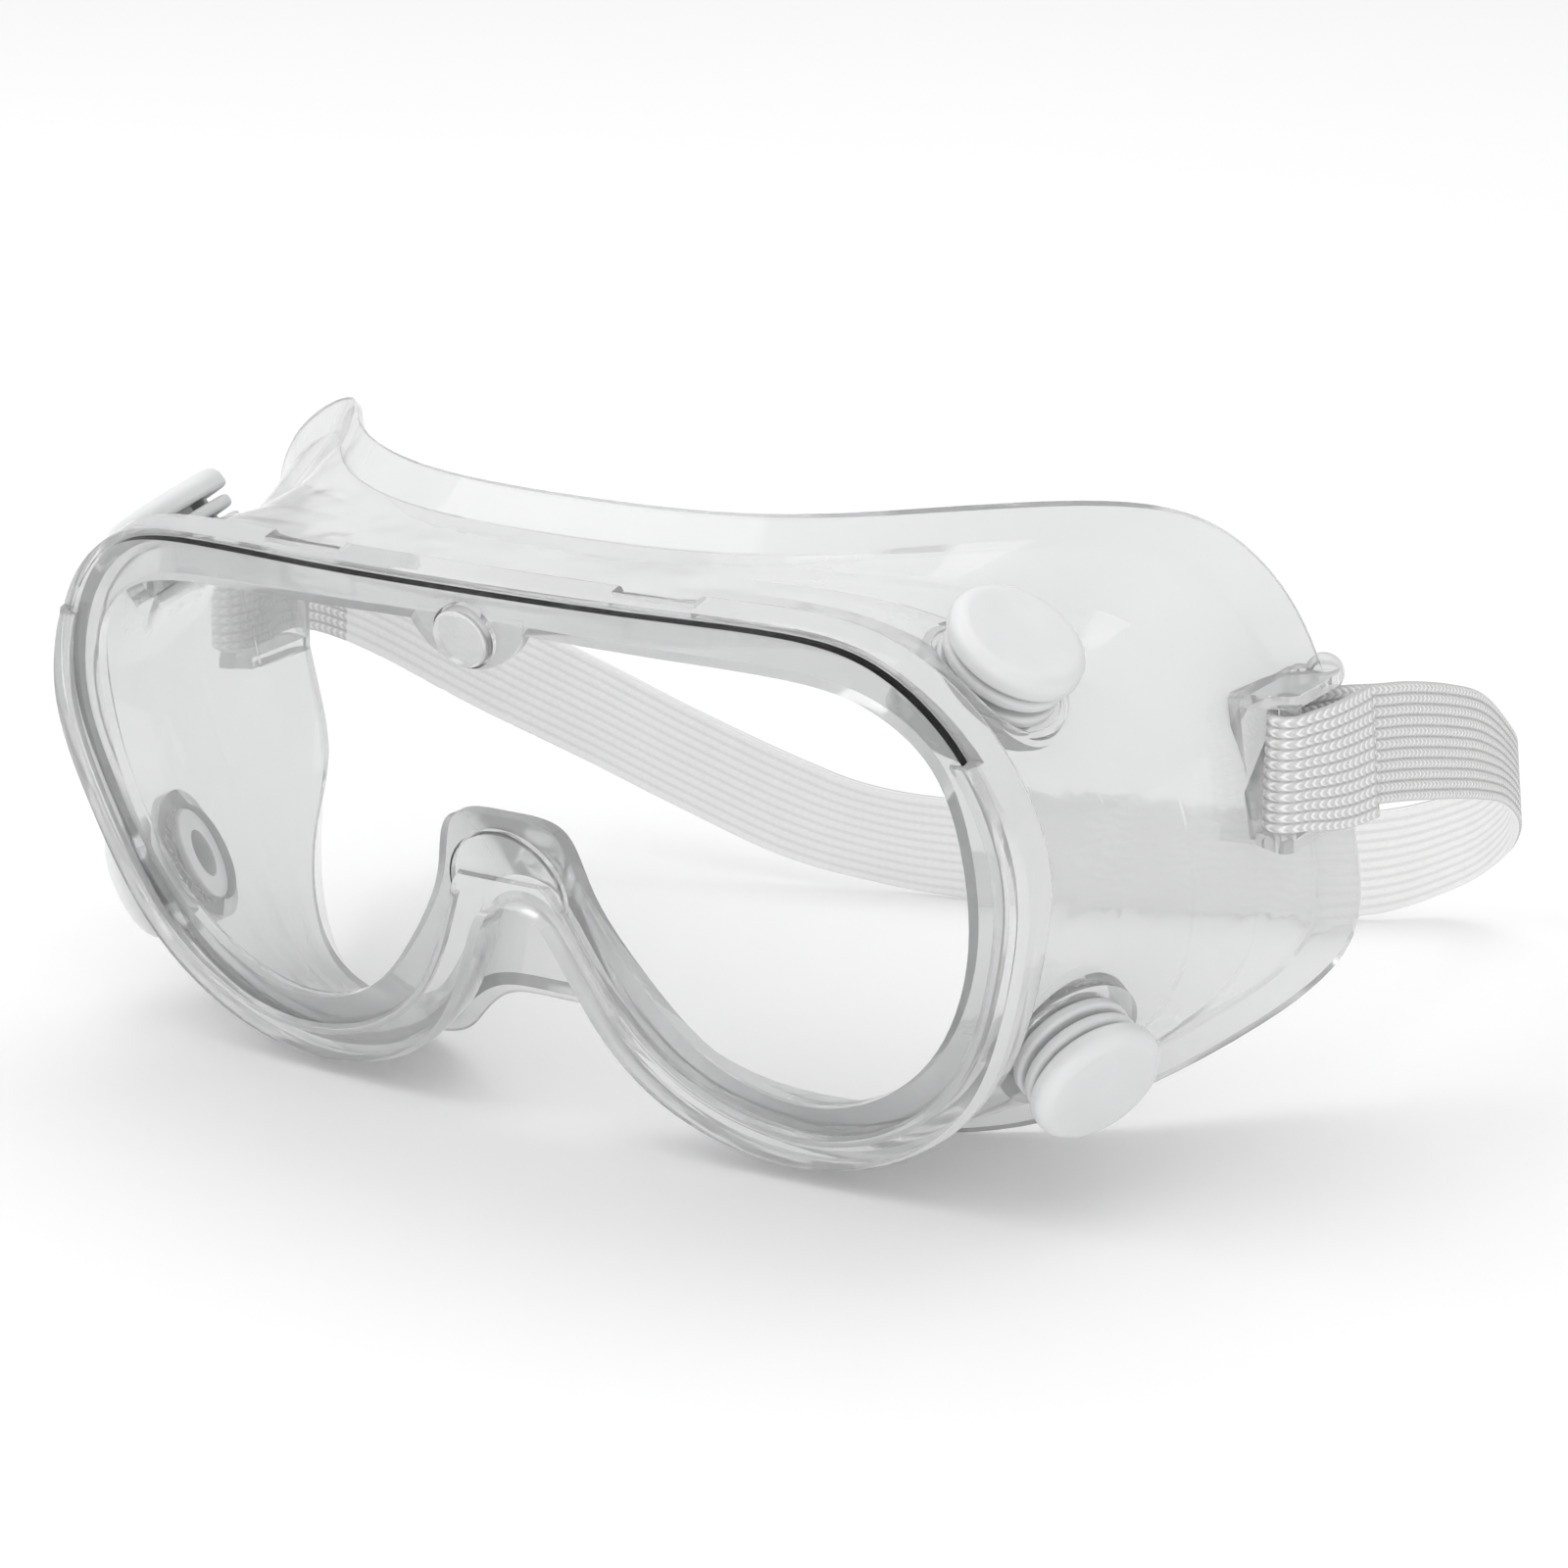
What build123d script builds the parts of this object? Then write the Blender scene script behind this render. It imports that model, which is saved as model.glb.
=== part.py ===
from build123d import *
import math
import os

# Chemical-splash goggles: one soft moulded frame, a clear lens, four snap-on vents and an elastic headband.
# Millimetres.  X is lateral, the lens faces -Y, Z is up.  The frame rests on its cheek edge and lens lobes.

# ---- driving dimensions -------------------------------------------------------------------------
LENS_TILT = 13.0        # the top of the lens leans forward of its foot, degrees
LENS_BOW_RADIUS = 740.0  # the lens plane is bowed slightly around the face
LENS_THICKNESS = 1.4
LENS_GAP = 0.4          # clearance of the lens in its rabbet
LIP_PROUD = 1.1         # front lip, ahead of the lens face
LIP_LAP = 1.6           # front lip, over the lens edge
BAND_DEPTH = 6.4        # front band, front to back
SHELF_THICKNESS = 2.4   # ledge that the lens bears on
WALL = 1.8              # side wall
FLANGE_THICKNESS = 1.5
FLANGE_FLARE = 4.3      # face flange, out from the wall and as far back

WALL_PARTS = (0.25, 0.5, 0.75)  # corners of the wall between band and flange

VENT_CAP_RADIUS = 9.3
VENT_CAP_HEIGHT = 3.4
VENT_DISC_RADIUS = 8.5
VENT_DISC_HEIGHT = 1.8
VENT_GROOVE = 0.95      # air gap between two discs of a vent
VENT_NECK_RADIUS = 5.6
VENT_BORE_RADIUS = 3.7
VENT_INNER_FLANGE_RADIUS = 7.2
VENT_INNER_FLANGE = 1.3
VENT_SNAP_RADIUS = 2.6  # stem of the cap inside the bore

STRAP_THICKNESS = 1.3
# Tail of the strap outside the lug, (x, y) from the bar to the cut end.
STRAP_TAIL = [(93, 60.5), (93.6, 65.5), (94, 70)]
# Bottom and top edge of the free strap, from the right lug, round behind, to the left lug.
STRAP_EDGES = [((91.3, 68, -1.5), (91.3, 68, 16.2)), ((91.6, 77, -2.8), (91.6, 77, 14.6)),
               ((91.8, 88, -5), (92, 88, 12.2)), ((91.6, 103, -8.8), (91.9, 103, 8.2)),
               ((90.8, 118, -13), (91, 117, 3.3)), ((89, 134, -18.5), (89, 131, -4)),
               ((86.5, 147, -26), (86.5, 143, -11)), ((81.5, 154.5, -34), (82.5, 151, -18)),
               ((73, 156, -41), (74.5, 153, -24)), ((60, 146, -45), (60.5, 145, -27.5)),
               ((32, 133, -45.4), (32, 132, -28)), ((3, 125, -45.4), (3, 123, -28.5)),
               ((-13, 121, -44), (-11.5, 119.5, -27.5)), ((-27, 117, -41), (-24, 118, -24.5)),
               ((-44, 113, -34.5), (-41.5, 115.5, -18.6)), ((-59, 109.5, -28.3), (-57, 113, -12.5)),
               ((-75, 102, -20), (-73.5, 106, -4)), ((-87, 91, -11), (-86.5, 93, 6)),
               ((-91, 80, -4), (-91, 80, 13.6)), ((-91.3, 74, -2.2), (-91.3, 74, 15.2)),
               ((-91.3, 68, -1.5), (-91.3, 68, 16.2))]

LIP_BROW_STEP = 20.0    # the front lip stops below this height
NOSE_STEP = -7.5
NOSE_STEP_HALF_WIDTH = 10.5
NOSE_ARC_RADIUS = 9.25  # round cut-out of the lens over the nose, filled by a step of the frame
NOSE_ARC_CENTRE = -9.85
NOSE_ARC_FOOT = -11.3
SLOT_CENTRE = 27.5      # two slots through the top of the band
SLOT_LENGTH = 12.2
SLOT_DEPTH = 2.0
TAB_RADIUS = 9.3        # brow tab hanging into the window
TAB_CENTRE = 32.6
BOSS_RADIUS = 4.2       # round boss that the lens buttons onto
BOSS_CENTRE = 28.4
BOSS_PROUD = 0.8

LUG_BAR_X = 88.6        # strap bar
LUG_BAR_RADIUS = 1.6
LUG_FRONT = 54.0
LUG_BACK = 69.0
# Middle of the wall's thickness behind the lug, (x, y) towards the flange, and where each plate's tip leaves it.
LUG_WALL_LINE = [(82.6, 60), (83.0, 69)]
LUG_TIPS = {"top": (81.8, 51), "bottom": (82.2, 55)}
# Pad on the wall between the plates, (y, z).
LUG_PAD = [(49.5, 18), (56, -3), (68, -3), (68, 18)]
LUG_PAD_X = (82.2, 83.8)
LUG_TOP = 16.5
LUG_GAP = 18.1
LUG_PLATE = 1.8
LUG_KNOB = ((86.6, 70.2, 17.0), 2.9)  # rounded knob where the top plate runs into the flange

VENT_PAD = 2.4          # wall thickness under a vent
VENT_PAD_LAP = 1.9      # pad, beyond the vent's disc
AIRWAY_WIDTH = 3.0
# Seat centre, outward direction and rim height of the pads that carry the right-hand vents.
VENTS = {"upper": ((64.2, 18.4, 25.3), (0.54, -0.14, 0.83), 0.5),
         "lower": ((73.0, 24.1, -23.8), (0.80, -0.41, -0.43), 0.1)}

# Outlines of the right half in the lens plane, (x, z) from the top centre round to the nose centre.
WINDOW = [(0, 29.5), (24.5, 29), (47.5, 28.3), (59, 25), (66, 17.5), (68.5, 4.8), (67.5, -9.5),
          (62, -23.3), (52.3, -32.6), (40, -35.7), (27.5, -31), (18.5, -21), (12, -9.5), (8.6, -0.2), (0, 1.3)]
BAND = [(0, 36), (25.5, 36), (49.5, 35.7), (62.5, 31.5), (72, 21.5), (77.5, 6.2), (76, -8.5),
        (70.3, -26), (60, -38.5), (44.6, -45), (27.5, -43.2), (14.7, -34.2), (8, -22), (4.3, -14.7), (0, -12.8)]
# How far the lens edge lies inside the outside of the band, at the same stations.
LENS_INSET = [1.2, 1.2, 1.2, 1.4, 2.2, 3.4, 3.6, 3.8, 4.4, 5.2, 6.2, 6.8, 7.0, 7.0, 7.0]
# Free edge of the face flange (x, y, z), upright frame, at the same stations.
FACE_EDGE = [(0, 22.3, 40.4), (26.6, 24.2, 41), (47.5, 36.6, 42), (65.5, 58, 40.2), (79, 64, 33.7),
             (87.4, 67.5, 19), (90.2, 75, -5.7), (88.9, 77, -23.8), (79, 63, -34.7), (62.7, 45.6, -43.2),
             (43.7, 34.2, -45.6), (26.6, 26.6, -42.3), (18, 21.4, -36.5), (9.5, 16.4, -30), (0, 14.5, -28.5)]
# Flare of the flange at each station: the nose flap is nearly flat.
FLARE = [1, 1, 1, 1, 1, 1, 1, 1, 1, 1, 0.9, 0.7, 0.5, 0.4, 0.4]
# Bulge of the wall between band and flange, outward; the upper corners are drawn in for the vents.
WALL_BULGE = [0, 0, -2, -6.5, -5, 0, 2, 1, 1, 1, 0.5, 0, 0, 0, 0]


def lens_point(x, y, z):
    """A point given on the bowed lens surface (x, z) at depth y, in the upright frame."""
    tilt = math.radians(LENS_TILT)
    depth = y + x * x / (2 * LENS_BOW_RADIUS)
    return Vector(x, depth * math.cos(tilt) - z * math.sin(tilt),
                  depth * math.sin(tilt) + z * math.cos(tilt))


LENS_PLANE = Plane(origin=(0, 0, 0), x_dir=(1, 0, 0),
                   z_dir=(0, -math.cos(math.radians(LENS_TILT)), -math.sin(math.radians(LENS_TILT))))


def station(index):
    """Window, band and flange-edge points of one station."""
    return Vector(*WINDOW[index]), Vector(*BAND[index]), Vector(*FACE_EDGE[index])


def face_normal(index):
    """Outward direction of the flange outline at a station, seen from the front."""
    last = len(FACE_EDGE) - 1
    if index in (0, last):
        return Vector(0, 0, 1 if index == 0 else -1)
    before, after = FACE_EDGE[index - 1], FACE_EDGE[index + 1]
    along = Vector(after[0] - before[0], 0, after[2] - before[2]).normalized()
    return Vector(-along.Z, 0, along.X)


def section(index):
    """Corners of the frame's section at one station: shelf, rabbet, lip, band, wall and flange, in order."""
    window, band, edge = station(index)
    across = (band - window).normalized()
    width = (band - window).length
    lens = width - LENS_INSET[index] + LENS_GAP
    lens_back = LENS_THICKNESS + LENS_GAP
    bite = min(LIP_LAP, lens - 0.5)

    def front(u, y):
        spot = window + across * u
        return lens_point(spot.X, y, spot.Y)

    normal = face_normal(index)
    flare = FLANGE_FLARE * FLARE[index]
    back = Vector(0, 1, 0)
    crease = edge - normal * flare - back * (flare + 0.3)
    lap = (back - normal) * (FLANGE_THICKNESS / math.sqrt(2))
    crease_in = crease - normal * WALL + back * 0.7
    wall_out = front(width - 1.4, BAND_DEPTH + 0.4)
    wall_in = front(max(width - 1.4 - WALL, 2.2), BAND_DEPTH + 1.6)
    bulge = normal * WALL_BULGE[index]

    def wall(start, end, part):
        return start + (end - start) * part + bulge * math.sin(math.pi * part)

    return ([front(0, lens_back), front(lens, lens_back), front(lens, 0), front(lens - bite, 0),
             front(lens - bite + 0.3, -LIP_PROUD + 0.2), front(lens - bite + 0.9, -LIP_PROUD),
             front(width - 1.3, -LIP_PROUD), front(width - 0.2, 0.4), front(width, 2),
             front(width, BAND_DEPTH - 0.4), front(width - 0.4, BAND_DEPTH), wall_out]
            + [wall(wall_out, crease, part) for part in WALL_PARTS]
            + [crease, edge, edge + lap, crease_in]
            + [wall(wall_in, crease_in, part) for part in reversed(WALL_PARTS)]
            + [wall_in, front(0.5, lens_back + SHELF_THICKNESS)])


def mirror_tangents(corner):
    """End directions of a rail through these points that meets its own mirror image squarely."""
    spans = len(corner) - 1
    return [Vector(corner[1].X * spans, 0, 0), Vector(-corner[-2].X * spans, 0, 0)]


def rail(corner, tangents=None):
    """Smooth curve through points that are spaced evenly in its parameter."""
    steps = [index / (len(corner) - 1) for index in range(len(corner))]
    return Edge.make_spline(corner, tangents=tangents, parameters=steps, scale=False)


def rail_solid(rails, first, last):
    """Solid with one strip between each two neighbouring rails, capped by the first and last section."""
    strips = [Face.make_surface_from_curves(one, other) for one, other in zip(rails, rails[1:] + rails[:1])]
    caps = [Face(Wire(Polyline(*end, close=True).edges())) for end in (first, last)]
    return Solid(Shell(strips + caps))


def half_shell():
    """Right half of the moulding, square to the mirror plane at both ends."""
    sections = [section(index) for index in range(len(WINDOW))]
    rails = [rail(corner, mirror_tangents(corner)) for corner in zip(*sections)]
    return rail_solid(rails, sections[0], sections[-1])


def lens_box(x, z_low, z_high, y_front, y_back):
    """Block as wide as 2x, between two heights and two depths of the lens frame."""
    block = Box(2 * x, z_high - z_low, y_back - y_front)
    return LENS_PLANE * Pos(0, (z_low + z_high) / 2, -(y_front + y_back) / 2) * block


def lens_bow(depth):
    """Upright cylinder whose front lies at one depth behind the front of the bowed lens."""
    centre = Pos(0, 0, -LENS_BOW_RADIUS - LENS_GAP / 2) * Rot(90, 0, 0)
    return LENS_PLANE * centre * Cylinder(LENS_BOW_RADIUS - depth, 220)


def lens_disc(radius, z, y_front, y_back):
    """Disc facing forward, centred on x = 0 at one height of the lens frame."""
    return LENS_PLANE * Pos(0, z, -(y_front + y_back) / 2) * Cylinder(radius, y_back - y_front)


def lug():
    """Right strap lug: two plates standing off the wall with the strap bar and a pad between them."""
    pieces = []
    crest = LUG_BAR_X + LUG_BAR_RADIUS
    for z, level, wall_shift in ((LUG_TOP, "top", 0), (LUG_TOP - LUG_GAP - LUG_PLATE, "bottom", 1.2)):
        inner = [(x + wall_shift, y) for x, y in [LUG_TIPS[level]] + LUG_WALL_LINE]
        tip = (inner[0][0] + WALL / 2 + 0.2, inner[0][1])
        outline = Polyline(*inner, (LUG_BAR_X - 0.6, LUG_BACK + 1), (crest - 0.6, LUG_BACK), (crest, LUG_BACK - 2),
                           (crest, LUG_FRONT + 0.5), (crest - 0.8, LUG_FRONT - 0.8), tip, close=True)
        pieces.append(extrude(Plane.XY.offset(z) * make_face(outline), LUG_PLATE))
    height = LUG_GAP + 2 * LUG_PLATE
    bar = Pos(LUG_BAR_X, LUG_FRONT + 1, LUG_TOP + LUG_PLATE - height / 2) * Cylinder(LUG_BAR_RADIUS, height)
    pad_face = Plane.YZ.offset(LUG_PAD_X[0]) * make_face(Polyline(*LUG_PAD, close=True))
    knob = Pos(*LUG_KNOB[0]) * Sphere(LUG_KNOB[1])
    return pieces + [bar, knob, extrude(pad_face, LUG_PAD_X[1] - LUG_PAD_X[0])]


def vent_plane(level):
    """Seat plane of the right-hand vent of one level, on the outside of the wall."""
    centre, normal, _ = VENTS[level]
    return Plane(origin=centre, z_dir=normal)


def half_frame():
    """Right half of the moulding with its lug, vent pads and brow slot."""
    half = half_shell() + lug()
    half -= Pos(SLOT_CENTRE, 0, 0) * lens_box(SLOT_LENGTH / 2, 34.2, 40, BAND_DEPTH - SLOT_DEPTH, BAND_DEPTH + 1)
    for level in VENTS:
        seat, rim = vent_plane(level), VENTS[level][2]
        pad = Cylinder(VENT_DISC_RADIUS + VENT_PAD_LAP, VENT_PAD + rim)
        half += seat * Pos(0, 0, (rim - VENT_PAD) / 2) * pad
        half -= seat * Pos(0, 0, 4) * Cylinder(VENT_DISC_RADIUS + 0.8, 8)
        half -= seat * Pos(0, 0, -VENT_PAD - 3) * Cylinder(VENT_INNER_FLANGE_RADIUS + 0.4, 6)
        half -= seat * Cylinder(VENT_NECK_RADIUS + 0.05, 12)
    return half


def frame():
    """The soft moulding in one piece: the front lip stops at brow and nose, and a tab and a boss hold the lens."""
    half = half_frame()
    body = half + mirror(half, about=Plane.YZ)
    body -= lens_box(90, LIP_BROW_STEP, 45, -6, 8) - lens_bow(LENS_THICKNESS - LENS_GAP / 2)
    body -= lens_box(NOSE_STEP_HALF_WIDTH, NOSE_STEP, 5, -6, 0)
    shelf_front = LENS_THICKNESS + LENS_GAP
    tab = lens_disc(TAB_RADIUS, TAB_CENTRE, shelf_front, shelf_front + SHELF_THICKNESS)
    body += tab & lens_box(20, 20, 31.5, -5, 10)
    nose = lens_disc(NOSE_ARC_RADIUS - LENS_GAP, NOSE_ARC_CENTRE, 0, shelf_front + 0.5)
    body += nose & lens_box(20, NOSE_ARC_FOOT, 5, -5, 10)
    boss = lens_disc(BOSS_RADIUS, BOSS_CENTRE, -BOSS_PROUD, shelf_front + 0.5)
    return body + fillet(boss.edges().sort_by(Axis.Y)[0], 0.5)


def lens():
    """Clear polycarbonate lens, bowed, with a hole for the brow boss."""
    outline = []
    for index in range(len(WINDOW)):
        window, band, _ = station(index)
        outline.append(band + (window - band).normalized() * LENS_INSET[index])
    right = rail(outline, mirror_tangents(outline))
    blank = extrude(LENS_PLANE * Face(Wire([right, mirror(right, about=Plane.YZ).edge()])), 10, both=True)
    hole = lens_disc(BOSS_RADIUS + LENS_GAP, BOSS_CENTRE, -5, 6)
    nose = lens_disc(NOSE_ARC_RADIUS, NOSE_ARC_CENTRE, -5, 6)
    return (blank & lens_bow(0) - lens_bow(LENS_THICKNESS)) - hole - nose


def disc(radius, low, high, edge):
    """Flat disc with its rims eased."""
    return fillet((Pos(0, 0, (low + high) / 2) * Cylinder(radius, high - low)).edges(), edge)


def ring_wall(outer, inner, low, high):
    """Plain tube between two heights."""
    middle = Pos(0, 0, (low + high) / 2)
    return middle * Cylinder(outer, high - low) - middle * Cylinder(inner, high - low)


def airways(low, high):
    """Cross of gaps that a vent neck breathes through."""
    middle = Pos(0, 0, (low + high) / 2)
    return middle * Box(30, AIRWAY_WIDTH, high - low) + middle * Box(AIRWAY_WIDTH, 30, high - low)


def vent_parts():
    """Seat, baffle and cap of one vent, standing on the seat plane at the origin."""
    seat_top = VENT_DISC_HEIGHT
    baffle_low = seat_top + VENT_GROOVE
    baffle_top = baffle_low + VENT_DISC_HEIGHT
    cap_low = baffle_top + VENT_GROOVE
    inner = -VENT_PAD - VENT_INNER_FLANGE
    bore = Cylinder(VENT_BORE_RADIUS, 40)

    seat = disc(VENT_DISC_RADIUS, 0, seat_top, 0.6) + disc(VENT_INNER_FLANGE_RADIUS, inner, -VENT_PAD, 0.4)
    seat = seat + ring_wall(VENT_NECK_RADIUS, VENT_BORE_RADIUS, inner, seat_top) - bore
    baffle = disc(VENT_DISC_RADIUS, baffle_low, baffle_top, 0.7)
    baffle += ring_wall(VENT_NECK_RADIUS, VENT_BORE_RADIUS, seat_top, baffle_low) - airways(seat_top, baffle_low)
    baffle -= bore
    crown = Pos(0, 0, cap_low + VENT_CAP_HEIGHT / 2) * Cylinder(VENT_CAP_RADIUS, VENT_CAP_HEIGHT)
    crown = fillet(crown.edges().group_by(Axis.Z)[-1], 1.9)
    crown = fillet(crown.edges().group_by(Axis.Z)[0], 0.7)
    cap = crown + ring_wall(VENT_NECK_RADIUS, VENT_SNAP_RADIUS, baffle_top, cap_low) - airways(baffle_top, cap_low)
    cap += ring_wall(VENT_BORE_RADIUS - 0.15, VENT_SNAP_RADIUS, seat_top * 0.5, cap_low + 0.5)
    return {"seat": seat, "baffle": baffle, "cap": cap}


def ribbon(edges):
    """Strap solid whose long edges run through the given (bottom, top) points."""
    edges = [(Vector(*low), Vector(*high)) for low, high in edges]
    sections = []
    for index, (low, high) in enumerate(edges):
        before, after = edges[max(index - 1, 0)], edges[min(index + 1, len(edges) - 1)]
        along = (after[0] + after[1]) - (before[0] + before[1])
        half = along.cross(high - low).normalized() * (STRAP_THICKNESS / 2)
        sections.append([low - half, low + half, high + half, high - half])
    return rail_solid([rail(corner) for corner in zip(*sections)], sections[0], sections[-1])


def strap_end():
    """Right end of the strap: up the inner side of the bar, round it and back outside as a short tail."""
    low, high = LUG_TOP - LUG_GAP + 0.3, LUG_TOP - 0.3
    turn = LUG_BAR_RADIUS + 0.1 + STRAP_THICKNESS / 2
    around = [(LUG_BAR_X + turn * math.cos(math.radians(angle)), LUG_FRONT + 1 + turn * math.sin(math.radians(angle)))
              for angle in (180, 225, 270, 315, 360)]
    route = [(LUG_BAR_X - 1.6, LUG_FRONT + 8)] + around + STRAP_TAIL
    return ribbon([((x, y, low), (x, y, high)) for x, y in route])


def headband():
    """Free part of the strap, from beside one lug round behind the goggles to the other."""
    return ribbon(STRAP_EDGES)


PARTS = {"frame": frame(), "lens": lens(), "headband": headband(), "strap_end_right": strap_end()}
PARTS["strap_end_left"] = mirror(PARTS["strap_end_right"], about=Plane.YZ)
for part_name, shape in vent_parts().items():
    for level_name in VENTS:
        right = vent_plane(level_name) * shape
        PARTS[f"vent_{part_name}_{level_name}_right"] = right
        PARTS[f"vent_{part_name}_{level_name}_left"] = mirror(right, about=Plane.YZ)

# The origin lies under the middle of the whole object, on the surface that it rests on.
boxes = [shape.bounding_box() for shape in PARTS.values()]
low = [min(getattr(box.min, axis) for box in boxes) for axis in "XYZ"]
high = [max(getattr(box.max, axis) for box in boxes) for axis in "XYZ"]
to_origin = Pos(-(low[0] + high[0]) / 2, -(low[1] + high[1]) / 2, -low[2])
os.makedirs("parts", exist_ok=True)
for node, shape in PARTS.items():
    export_step(to_origin * shape, f"parts/{node}.step")
print("origin moved by", to_origin.position)
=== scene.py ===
import math

import bpy
import numpy as np
from mathutils import Matrix, Vector


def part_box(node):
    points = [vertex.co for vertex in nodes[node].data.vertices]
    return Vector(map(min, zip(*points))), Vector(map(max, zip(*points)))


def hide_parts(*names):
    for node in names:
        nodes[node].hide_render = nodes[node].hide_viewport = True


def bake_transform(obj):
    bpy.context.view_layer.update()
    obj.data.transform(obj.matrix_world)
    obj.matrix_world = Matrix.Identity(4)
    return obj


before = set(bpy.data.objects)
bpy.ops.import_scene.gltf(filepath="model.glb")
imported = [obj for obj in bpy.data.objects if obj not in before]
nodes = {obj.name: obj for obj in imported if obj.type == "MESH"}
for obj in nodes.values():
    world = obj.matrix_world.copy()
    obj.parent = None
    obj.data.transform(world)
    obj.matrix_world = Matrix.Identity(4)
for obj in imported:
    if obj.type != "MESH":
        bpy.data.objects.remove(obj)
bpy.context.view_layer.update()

# Middle of the lens plane, which the strap route and the camera are set out from.
LENS_TILT = math.radians(13)
LENS_SETBACK = 0.0080   # of the lens plane behind the foremost point of the frame
LENS_HEIGHT = 0.0457
frame_low, frame_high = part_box("frame")
LENS_ORIGIN = Vector(((frame_low.x + frame_high.x) / 2, frame_low.y + LENS_SETBACK, LENS_HEIGHT))

CUT_EDGE_SHADE = (0.02, 0.02, 0.02)  # painted shade on the lens's cut edge, seen end on

# Strap: ribs and stitches.
RIBS = 11
RIB_HEIGHT = 0.00016
RIB_FULLNESS = 0.7      # power of the cosine that rounds a rib
COLUMNS_PER_RIB = 6
STITCHES_PER_M = 680
STITCH_SLANT = 1.1      # stitches that a stitch row leads by, from the edge of a rib to its middle
INNER_FACE = 2          # added to the share across, in the UV map, on the free part's face towards the head
INNER_STITCH = 0.86     # least height of a stitch and of a groove on that smoother face, which also lightens its painted shade
INNER_GROOVE = 0.84
# Strap: body and route.
STRAP_THICKNESS = 0.0013
EDGE_SHARE = 0.07       # part of the half width that rounds off at each edge
EDGE_THICKNESS = 0.35   # thickness left at the very edge
LUG_LENGTH = 0.058      # of the strap at each end that is folded round a lug's bar
POINTS_PER_SPAN = 12
ROUTE_STEP = 0.0009

# Camera, about the lens origin: view direction in degrees, then distance and slides right and up in metres.
CAMERA_AZIMUTH, CAMERA_ELEVATION = 31.15, 17.37
CAMERA_DISTANCE, CAMERA_RIGHT, CAMERA_UP = 0.5436, 0.0381, 0.0059
CAMERA_LENS, CAMERA_SENSOR, CAMERA_CLIP = 94.64, 36, 0.01

FLOOR_REACH = 6
LIGHT_AIM = Vector((0, 0, 0.03))
LIT_SIDE = (-0.62, -0.35, 0.70)     # side of the surroundings that is brightest
SURROUNDINGS = {"From Min": -0.8, "From Max": 0.9, "To Min": 0.62, "To Max": 1.0}


# ---------------------------------------------------------------- materials
class Shader:
    """A material with one Principled shader and short calls for the nodes that feed it."""

    def __init__(self, name, **sockets):
        self.material = bpy.data.materials.new(name)
        self.material.use_nodes = True
        self.tree = self.material.node_tree
        self.principled = self.tree.nodes["Principled BSDF"]
        for socket, value in sockets.items():
            self.principled.inputs[socket.replace("_", " ")].default_value = value

    def node(self, kind, **settings):
        made = self.tree.nodes.new(kind)
        for key, value in settings.items():
            setattr(made, key, value)
        return made

    def link(self, output, target):
        self.tree.links.new(output, target)

    def noise(self, scale, detail=3.0, roughness=0.5, vector=None):
        made = self.node("ShaderNodeTexNoise")
        made.inputs["Scale"].default_value = scale
        made.inputs["Detail"].default_value = detail
        made.inputs["Roughness"].default_value = roughness
        if vector is None:
            vector = self.node("ShaderNodeTexCoord").outputs["Object"]
        self.link(vector, made.inputs["Vector"])
        return made.outputs["Fac"]

    def between(self, factor, low, high, low_at=0.3, high_at=0.7):
        """Turns a 0 to 1 factor into a value from low to high."""
        made = self.node("ShaderNodeMapRange")
        made.inputs["From Min"].default_value = low_at
        made.inputs["From Max"].default_value = high_at
        made.inputs["To Min"].default_value = low
        made.inputs["To Max"].default_value = high
        self.link(factor, made.inputs["Value"])
        return made.outputs["Result"]

    def tones(self, factor, dark, light):
        """Turns a 0 to 1 factor into a colour between two tones."""
        made = self.node("ShaderNodeMix", data_type="RGBA")
        self.link(factor, made.inputs["Factor"])
        made.inputs["A"].default_value = (*dark, 1)
        made.inputs["B"].default_value = (*light, 1)
        return made.outputs["Result"]

    def math(self, operation, one, other):
        made = self.node("ShaderNodeMath", operation=operation)
        for socket, value in zip(made.inputs, (one, other)):
            if isinstance(value, (int, float)):
                socket.default_value = value
            else:
                self.link(value, socket)
        return made.outputs["Value"]

    def bump(self, height, distance, strength=1.0, under=None):
        made = self.node("ShaderNodeBump")
        made.inputs["Distance"].default_value = distance
        made.inputs["Strength"].default_value = strength
        self.link(height, made.inputs["Height"])
        if under is not None:
            self.link(under, made.inputs["Normal"])
        return made.outputs["Normal"]

    def feed(self, socket, output):
        self.link(output, self.principled.inputs[socket])


def moulded_pvc():
    """Clear soft vinyl: glossy, faintly cloudy, with the slow waves of a thick moulding."""
    shader = Shader("clear_pvc", Transmission_Weight=0.75, IOR=1.43)
    cloud = shader.noise(scale=38, detail=4)
    shader.feed("Base Color", shader.tones(cloud, dark=(0.83, 0.834, 0.838), light=(0.90, 0.903, 0.906)))
    shader.feed("Roughness", shader.between(shader.noise(scale=90, detail=5), low=0.02, high=0.08))
    waves = shader.bump(shader.noise(scale=55, detail=2), distance=0.0005, strength=0.5)
    grain = shader.noise(scale=400, detail=3)
    shader.feed("Normal", shader.bump(grain, distance=0.00003, strength=0.4, under=waves))
    return shader.material


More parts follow.
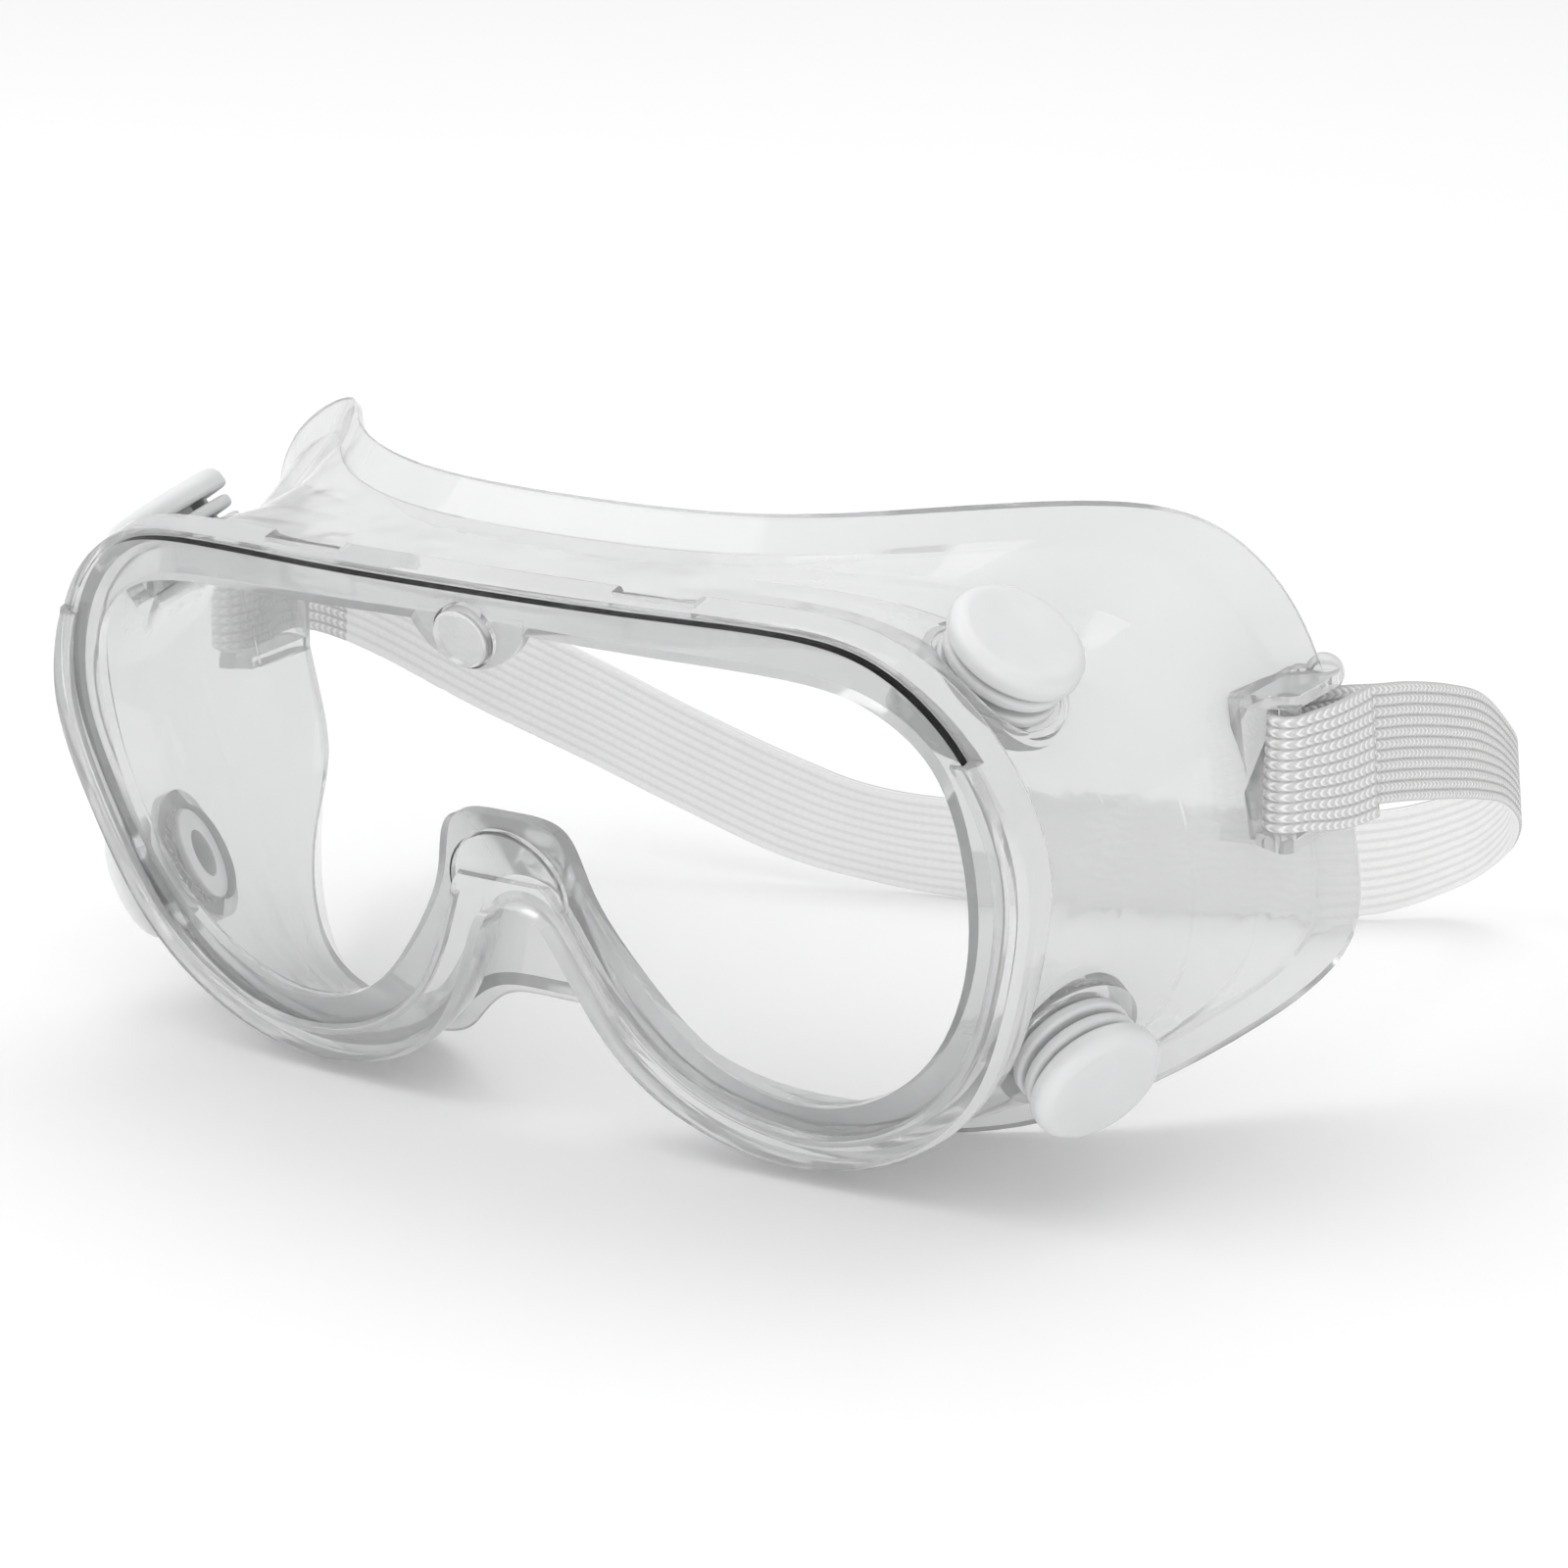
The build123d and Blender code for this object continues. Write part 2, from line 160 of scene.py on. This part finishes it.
def lens_plastic():
    """Clear polycarbonate sheet, polished on its faces, with painted shade along its cut edge."""
    shader = Shader("clear_polycarbonate", Transmission_Weight=1.0, IOR=1.5)
    cloud = shader.noise(scale=20, detail=2)
    clear = shader.tones(cloud, dark=(0.985, 0.988, 0.99), light=(0.995, 0.997, 0.998))
    # Painted shade: where the faces turn away from the lens plane, on the cut edge, rim rises to 1 and the
    # colour goes near black.
    facing = shader.node("ShaderNodeVectorMath", operation="DOT_PRODUCT")
    shader.link(shader.node("ShaderNodeNewGeometry").outputs["Normal"], facing.inputs[0])
    facing.inputs[1].default_value = (0, -math.cos(LENS_TILT), -math.sin(LENS_TILT))
    squareness = shader.math("ABSOLUTE", facing.outputs["Value"], 0)
    rim = shader.between(squareness, low=1, high=0, low_at=0.3, high_at=0.7)
    edge_shaded = shader.node("ShaderNodeMix", data_type="RGBA")
    shader.link(rim, edge_shaded.inputs["Factor"])
    shader.link(clear, edge_shaded.inputs["A"])
    edge_shaded.inputs["B"].default_value = (*CUT_EDGE_SHADE, 1)
    shader.feed("Base Color", edge_shaded.outputs["Result"])
    shader.feed("Roughness", shader.between(shader.noise(scale=240, detail=4), low=0.0, high=0.02))
    return shader.material


def vent_polyethylene():
    """White, slightly waxy moulded polyethylene."""
    shader = Shader("white_polyethylene", IOR=1.5, Subsurface_Weight=0.35, Subsurface_Scale=0.002)
    shader.principled.inputs["Subsurface Radius"].default_value = (1.0, 0.95, 0.9)
    cloud = shader.noise(scale=160, detail=4)
    shader.feed("Base Color", shader.tones(cloud, dark=(0.70, 0.705, 0.71), light=(0.77, 0.775, 0.78)))
    shader.feed("Roughness", shader.between(shader.noise(scale=420, detail=4), low=0.28, high=0.42))
    shader.feed("Normal", shader.bump(shader.noise(scale=1500, detail=3), distance=0.00003, strength=0.6))
    return shader.material


def knitted_elastic():
    """White ribbed elastic: slanted stitches on the outer face, fine lengthwise lines on the inner face,
    with painted shade in the grooves between ribs and between stitch rows.
    """
    shader = Shader("knitted_elastic", Roughness=0.85, Sheen_Weight=0.3, Sheen_Roughness=0.5)
    place = shader.node("ShaderNodeSeparateXYZ")
    shader.link(shader.node("ShaderNodeUVMap", uv_map="strap").outputs["UV"], place.inputs["Vector"])
    across, along = place.outputs["X"], place.outputs["Y"]
    rib = shader.math("MULTIPLY", across, RIBS)
    slant = shader.math("ABSOLUTE", shader.math("SUBTRACT", shader.math("FRACT", rib, 0), 0.5), 0)
    offset = shader.math("MULTIPLY", slant, STITCH_SLANT)
    row = shader.math("ADD", shader.math("MULTIPLY", along, STITCHES_PER_M), offset)
    stitch = shader.math("SINE", shader.math("MULTIPLY", row, 2 * math.pi), 0)
    inner = shader.math("GREATER_THAN", across, INNER_FACE - 0.5)
    stitch = shader.between(stitch, low=0, high=1, low_at=-1, high_at=1)
    stitch = shader.math("MAXIMUM", stitch, shader.math("MULTIPLY", inner, INNER_STITCH))
    groove = shader.between(slant, low=1, high=0, low_at=0.30, high_at=0.5)
    groove = shader.math("MAXIMUM", groove, shader.math("MULTIPLY", inner, INNER_GROOVE))
    height = shader.math("MULTIPLY", stitch, groove)
    # Painted shade: the colour darkens in the rib grooves and between stitch rows, down to the dark tone in
    # the deepest hollows.
    painted_knit_shade = shader.math("MULTIPLY", shader.between(height, low=0.55, high=1, low_at=0, high_at=1),
                        shader.between(groove, low=0.5, high=1, low_at=0, high_at=1))
    shader.feed("Base Color", shader.tones(painted_knit_shade, dark=(0.30, 0.30, 0.30), light=(0.97, 0.97, 0.965)))
    fuzz = shader.bump(shader.noise(scale=5200, detail=2), distance=0.00005, strength=0.5)
    shader.feed("Normal", shader.bump(height, distance=0.0003, strength=0.9, under=fuzz))
    return shader.material


# ---------------------------------------------------------------- strap
# Bottom and top edge of the strap in millimetres from the lens origin: tail, round the bar, then behind.
LUG_TURN = [((93.9, 73.3, -3.0), (93.9, 68.6, 16.8)), ((93.5, 66, -2.4), (93.5, 64, 16.6)),
            ((92.7, 60, -1.4), (92.7, 60, 16.2)), ((91.3, 56, -0.6), (91.3, 56, 15.9)),
            ((90.2, 53.4, -0.3), (90.2, 53.4, 15.7)), ((88.3, 52.4, -0.3), (88.3, 52.4, 15.7)),
            ((86.5, 53.9, -0.3), (86.5, 53.9, 15.8)), ((86.2, 57.5, -0.6), (86.2, 57.5, 16.0)),
            ((87.0, 63, -1.0), (87.0, 63, 16.0)), ((89.6, 69.5, -1.8), (89.4, 69.5, 15.8))]
FREE_PART = [((91.6, 78, -2.8), (91.6, 77, 14.6)), ((91.8, 88, -5), (92, 88, 12.3)),
             ((91.6, 103, -8.8), (91.9, 103, 8.2)), ((90.8, 118, -13), (91, 117, 3.3)),
             ((89, 134, -18.5), (89, 131, -4)), ((86.5, 147, -26), (86.5, 143, -11)),
             ((81.5, 154.5, -34), (82.5, 151, -18)), ((73, 156, -41), (74.5, 153, -24)),
             ((60, 146, -45), (60.5, 145, -27.5)), ((32, 133, -45.4), (32, 132, -28)),
             ((3, 125, -45.4), (3, 123, -28.5)), ((-13, 121, -44), (-11.5, 119.5, -27.5)),
             ((-27, 117, -41), (-24, 118, -24.5)), ((-44, 113, -34.5), (-41.5, 115.5, -18.6)),
             ((-59, 109.5, -28.3), (-57, 113, -12.5)), ((-75, 102, -20), (-73.5, 106, -4)),
             ((-87, 91, -10), (-86.5, 93, 7)), ((-91.0, 80, -4), (-91.0, 80, 13.6))]


def mirrored(edges):
    return [tuple((-x, y, z) for x, y, z in pair) for pair in reversed(edges)]


def smooth_line(points, per_span):
    """Points along a smooth curve through the given points."""
    points = np.array(points, float)
    padded = np.vstack([2 * points[0] - points[1], points, 2 * points[-1] - points[-2]])
    line = []
    for k in range(1, len(padded) - 2):
        a, b, c, d = padded[k - 1:k + 3]
        for t in np.linspace(0, 1, per_span, endpoint=False):
            line.append(0.5 * (2 * b + (c - a) * t + (2 * a - 5 * b + 4 * c - d) * t * t
                               + (3 * b - a - 3 * c + d) * t ** 3))
    line.append(points[-1])
    return np.array(line)


def even_steps(line, step):
    """The same line, divided into nearly equal steps of its middle, with the distance of each point."""
    middle = line.reshape(len(line), 2, 3).mean(1)
    distance = np.concatenate([[0], np.cumsum(np.linalg.norm(np.diff(middle, axis=0), axis=1))])
    wanted = np.linspace(0, distance[-1], int(distance[-1] / step) + 1)
    return np.stack([np.interp(wanted, distance, column) for column in line.T], 1), wanted


def build_strap():
    """One ribbed elastic from tail to tail, with its ribs in the mesh and its stitches in the material."""
    edges = LUG_TURN + FREE_PART + mirrored(LUG_TURN)
    line = smooth_line([np.ravel(pair) for pair in edges], POINTS_PER_SPAN) / 1000
    line, distance = even_steps(line, ROUTE_STEP)
    low, high = line[:, :3] + np.array(LENS_ORIGIN), line[:, 3:] + np.array(LENS_ORIGIN)
    along = np.gradient((low + high) / 2, axis=0)
    normal = np.cross(along, high - low)
    normal /= np.linalg.norm(normal, axis=1)[:, None]

    share = np.linspace(0, 1, RIBS * COLUMNS_PER_RIB + 1)
    rib = RIB_HEIGHT * (np.abs(np.cos(math.pi * (share * RIBS - 0.5))) ** RIB_FULLNESS - 1)
    near_edge = np.clip((np.abs(share - 0.5) * 2 - (1 - EDGE_SHARE)) / EDGE_SHARE, 0, 1)
    rim = np.sqrt(np.clip(1 - near_edge ** 2, 0, 1))
    half = (STRAP_THICKNESS / 2 + rib) * (EDGE_THICKNESS + (1 - EDGE_THICKNESS) * rim)
    outside = [(s, h) for s, h in zip(share, half)]
    inside = [(s, -h) for s, h in zip(share[::-1], half[::-1])]
    loop = outside + inside
    outer_shares = [s for s, _ in loop]
    free_shares = [s for s, _ in outside] + [s + INNER_FACE for s, _ in inside]
    vertices = [low[i] + (high[i] - low[i]) * s + normal[i] * h for i in range(len(line)) for s, h in loop]
    count = len(loop)
    faces, coordinates = [], []
    for i in range(len(line) - 1):
        shares = free_shares if LUG_LENGTH < distance[i] < distance[-1] - LUG_LENGTH else outer_shares
        for k in range(count):
            n = (k + 1) % count
            faces.append((i * count + k, i * count + n, (i + 1) * count + n, (i + 1) * count + k))
            one, other = shares[k], shares[n]
            if abs(one - other) > 1:
                other = one
            here, ahead = distance[i], distance[i + 1]
            coordinates += [(one, here), (other, here), (other, ahead), (one, ahead)]
    for i, row in ((0, range(count - 1, -1, -1)), (len(line) - 1, range(count))):
        faces.append(tuple(i * count + k for k in row))
        coordinates += [(outer_shares[k], distance[i]) for k in row]
    mesh = bpy.data.meshes.new("strap")
    mesh.from_pydata([tuple(v) for v in vertices], [], faces)
    uv = mesh.uv_layers.new(name="strap")
    for corner, place in enumerate(coordinates):
        uv.data[corner].uv = place
    mesh.polygons.foreach_set("use_smooth", [True] * len(mesh.polygons))
    strap = bpy.data.objects.new("strap", mesh)
    bpy.context.scene.collection.objects.link(strap)
    mesh.materials.append(knitted_elastic())
    return strap


strap = build_strap()
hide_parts("headband", "strap_end_right", "strap_end_left")
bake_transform(strap)

# ---------------------------------------------------------------- finishes of the CAD pieces
pvc, polycarbonate, polyethylene = moulded_pvc(), lens_plastic(), vent_polyethylene()
for name, node in nodes.items():
    if name == "frame":
        finish = pvc
    elif name == "lens":
        finish = polycarbonate
    else:
        finish = polyethylene
    for material_slot in node.material_slots:
        material_slot.material = finish

# ---------------------------------------------------------------- floor, light and camera
floor_mesh = bpy.data.meshes.new("floor")
corners = [(x * FLOOR_REACH, y * FLOOR_REACH, 0) for x, y in ((-1, -1), (1, -1), (1, 1), (-1, 1))]
floor_mesh.from_pydata(corners, [], [(0, 1, 2, 3)])
floor = bpy.data.objects.new("floor", floor_mesh)
bpy.context.scene.collection.objects.link(floor)
paper = Shader("paper", Roughness=0.9)
paper_cloud = paper.noise(scale=3, detail=2)
paper.feed("Base Color", paper.tones(paper_cloud, dark=(0.93, 0.93, 0.93), light=(0.95, 0.95, 0.95)))
floor_mesh.materials.append(paper.material)

scene = bpy.context.scene
scene.world = bpy.data.worlds.new("studio")
scene.world.use_nodes = True
world_tree = scene.world.node_tree
backdrop = world_tree.nodes["Background"]
direction = world_tree.nodes.new("ShaderNodeTexCoord")
toward_light = world_tree.nodes.new("ShaderNodeVectorMath")
toward_light.operation = "DOT_PRODUCT"
toward_light.inputs[1].default_value = LIT_SIDE
fade = world_tree.nodes.new("ShaderNodeMapRange")
for socket, value in SURROUNDINGS.items():
    fade.inputs[socket].default_value = value
world_tree.links.new(direction.outputs["Generated"], toward_light.inputs[0])
world_tree.links.new(toward_light.outputs["Value"], fade.inputs["Value"])
world_tree.links.new(fade.outputs["Result"], backdrop.inputs["Strength"])
backdrop.inputs["Color"].default_value = (1, 1, 1, 1)


def soft_light(name, place, size, power):
    data = bpy.data.lights.new(name, "AREA")
    data.shape = "RECTANGLE"
    data.size, data.size_y = size
    data.energy = power
    light = bpy.data.objects.new(name, data)
    light.location = place
    light.rotation_euler = (LIGHT_AIM - Vector(place)).to_track_quat("-Z", "Y").to_euler()
    scene.collection.objects.link(light)


soft_light("key", place=(-0.8, -0.6, 1.3), size=(0.9, 0.9), power=3.2)
soft_light("fill", place=(0.5, -1.3, 0.25), size=(1.0, 0.5), power=2.6)
soft_light("top", place=(-0.1, 0.4, 1.5), size=(1.3, 0.8), power=3.4)

azimuth, elevation = math.radians(CAMERA_AZIMUTH), math.radians(CAMERA_ELEVATION)
level = math.cos(elevation)
back = Vector((math.sin(azimuth) * level, -math.cos(azimuth) * level, math.sin(elevation)))
right = Vector((math.cos(azimuth), math.sin(azimuth), 0))
up = back.cross(right)
camera_data = bpy.data.cameras.new("camera")
camera_data.lens = CAMERA_LENS
camera_data.sensor_width = CAMERA_SENSOR
camera_data.clip_start = CAMERA_CLIP
camera = bpy.data.objects.new("camera", camera_data)
scene.collection.objects.link(camera)
place = LENS_ORIGIN + back * CAMERA_DISTANCE + right * CAMERA_RIGHT + up * CAMERA_UP
camera.matrix_world = Matrix.Translation(place) @ Matrix((right, up, back)).transposed().to_4x4()
scene.camera = camera
scene.view_settings.view_transform = "Standard"
